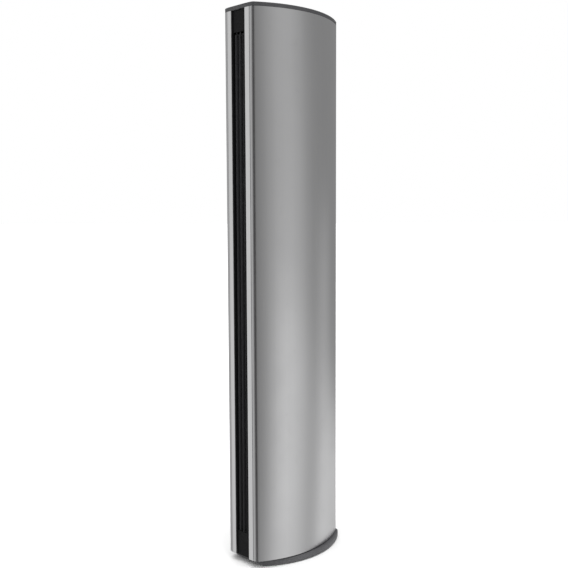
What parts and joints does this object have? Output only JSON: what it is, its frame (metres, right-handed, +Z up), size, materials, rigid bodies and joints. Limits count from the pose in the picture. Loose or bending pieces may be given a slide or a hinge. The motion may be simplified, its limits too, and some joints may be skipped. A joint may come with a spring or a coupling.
{
  "type": "tower fan",
  "caption": "Tall lens-section column fan with satin metal sides, a narrow vaned outlet slot and a rear intake grille, swinging on a flat weighted base.",
  "frame": {"origin": "on the floor, below the middle of the whole outline", "axes": "+Z up the column; the outlet slot faces -Y, the intake grille +Y and the curved sides +X and -X"},
  "size_m": [0.16, 0.247, 1.1],
  "materials": {
    "side_metal": "satin silver, brushed along the height",
    "trim_metal": "bright satin silver",
    "cap_black": "fine grained dark grey",
    "base_black": "dark grey powder coat",
    "outlet_black": "matt black",
    "grille_black": "matt black",
    "panel_gloss": "gloss black",
    "window_smoke": "smoked gloss",
    "button_silver": "silver lacquered",
    "frame_plastic": "dark grey moulded plastic",
    "wheel_plastic": "black moulded plastic",
    "steel": "zinc plated",
    "weight_iron": "bare cast plate",
    "rubber_black": "matt black rubber",
    "gear_plastic": "natural acetal",
    "bronze": "sintered bronze",
    "copper": "varnished windings and laminations",
    "board": "printed circuit board",
    "parts": "moulded electrical parts",
    "capacitor_white": "white plastic case",
    "lamp": "clear tinted lamp"
  },
  "bodies": {
    "base": {"base_cover": "base_black", "base_floor": "frame_plastic", "base_weight": "weight_iron", "base_feet": "rubber_black", "base_screws": "steel", "cord_gland": "rubber_black", "swing_post": "frame_plastic", "post_screws": "steel", "swing_gear": "gear_plastic", "gear_clip": "steel", "thrust_ring": "gear_plastic"},
    "column": {"turntable": "frame_plastic", "deck_pillars": "steel", "right_side": "side_metal", "left_side": "side_metal", "right_trim": "trim_metal", "left_trim": "trim_metal", "intake_grille": "grille_black", "grille_screws": "steel", "lower_bulkhead": "frame_plastic", "upper_bulkhead": "frame_plastic", "scroll_wall": "frame_plastic", "cutoff_wall": "frame_plastic", "outlet_frame": "outlet_black", "outlet_guard": "outlet_black", "motor_can": "steel", "motor_stator": "copper", "motor_grommets": "rubber_black", "motor_screws": "steel", "swing_motor": "steel", "swing_motor_plate": "frame_plastic", "power_board": "board", "power_parts": "parts", "run_capacitor": "capacitor_white", "bearing_rubber": "rubber_black", "top_bearing": "bronze", "top_cap": "cap_black", "cap_pillars": "steel", "control_panel": "panel_gloss", "display_window": "window_smoke", "control_board": "board", "tact_switches": "parts", "indicator_lamps": "lamp"},
    "wheel": {"fan_wheel": "wheel_plastic", "wheel_hub": "rubber_black", "motor_rotor": "steel", "motor_shaft": "steel", "wheel_pin": "steel"},
    "pinion": {"swing_pinion": "gear_plastic", "pinion_shaft": "steel"},
    "left_vane": {"left_vane": "outlet_black"},
    "middle_vane": {"middle_vane": "outlet_black"},
    "right_vane": {"right_vane": "outlet_black"},
    "vane_link": {"vane_link": "frame_plastic"},
    "power_button": {"power_button": "button_silver"},
    "speed_button": {"speed_button": "button_silver"},
    "swing_button": {"swing_button": "button_silver"},
    "timer_button": {"timer_button": "button_silver"}
  },
  "joints": [
    {"name": "column_swing", "type": "hinge", "parent": "base", "child": "column", "pos_m": [0, -0.0035, 0.016], "axis": [0, 0, 1], "range_deg": [-35, 35]},
    {"name": "pinion_spin", "type": "hinge", "parent": "column", "child": "pinion", "pos_m": [0, 0.03775, 0.028], "axis": [0, 0, 1], "range_deg": [-95, 95]},
    {"name": "wheel_spin", "type": "hinge", "parent": "column", "child": "wheel", "pos_m": [0, 0.0025, 0.2], "axis": [0, 0, 1], "continuous": true},
    {"name": "middle_vane_turn", "type": "hinge", "parent": "column", "child": "middle_vane", "pos_m": [0, -0.1155, 0.56], "axis": [0, 0, 1], "range_deg": [-30, 30]},
    {"name": "left_vane_turn", "type": "hinge", "parent": "column", "child": "left_vane", "pos_m": [-0.0105, -0.1155, 0.56], "axis": [0, 0, 1], "range_deg": [-30, 30]},
    {"name": "right_vane_turn", "type": "hinge", "parent": "column", "child": "right_vane", "pos_m": [0.0105, -0.1155, 0.56], "axis": [0, 0, 1], "range_deg": [-30, 30]},
    {"name": "link_turn", "type": "hinge", "parent": "middle_vane", "child": "vane_link", "pos_m": [0, -0.1111, 1.047], "axis": [0, 0, 1], "range_deg": [-30, 30]},
    {"name": "power_button_press", "type": "slide", "parent": "column", "child": "power_button", "axis": [0, 0, -1], "range_m": [0, 0.001], "stiffness_N_per_m": 400, "springref_m": -0.001},
    {"name": "speed_button_press", "type": "slide", "parent": "column", "child": "speed_button", "axis": [0, 0, -1], "range_m": [0, 0.001], "stiffness_N_per_m": 400, "springref_m": -0.001},
    {"name": "swing_button_press", "type": "slide", "parent": "column", "child": "swing_button", "axis": [0, 0, -1], "range_m": [0, 0.001], "stiffness_N_per_m": 400, "springref_m": -0.001},
    {"name": "timer_button_press", "type": "slide", "parent": "column", "child": "timer_button", "axis": [0, 0, -1], "range_m": [0, 0.001], "stiffness_N_per_m": 400, "springref_m": -0.001}
  ],
  "couplings": [
    {"joint": "pinion_spin", "follows": "column_swing", "ratio": 2.6667},
    {"joint": "left_vane_turn", "follows": "middle_vane_turn", "ratio": 1},
    {"joint": "right_vane_turn", "follows": "middle_vane_turn", "ratio": 1},
    {"joint": "link_turn", "follows": "middle_vane_turn", "ratio": -1}
  ]
}
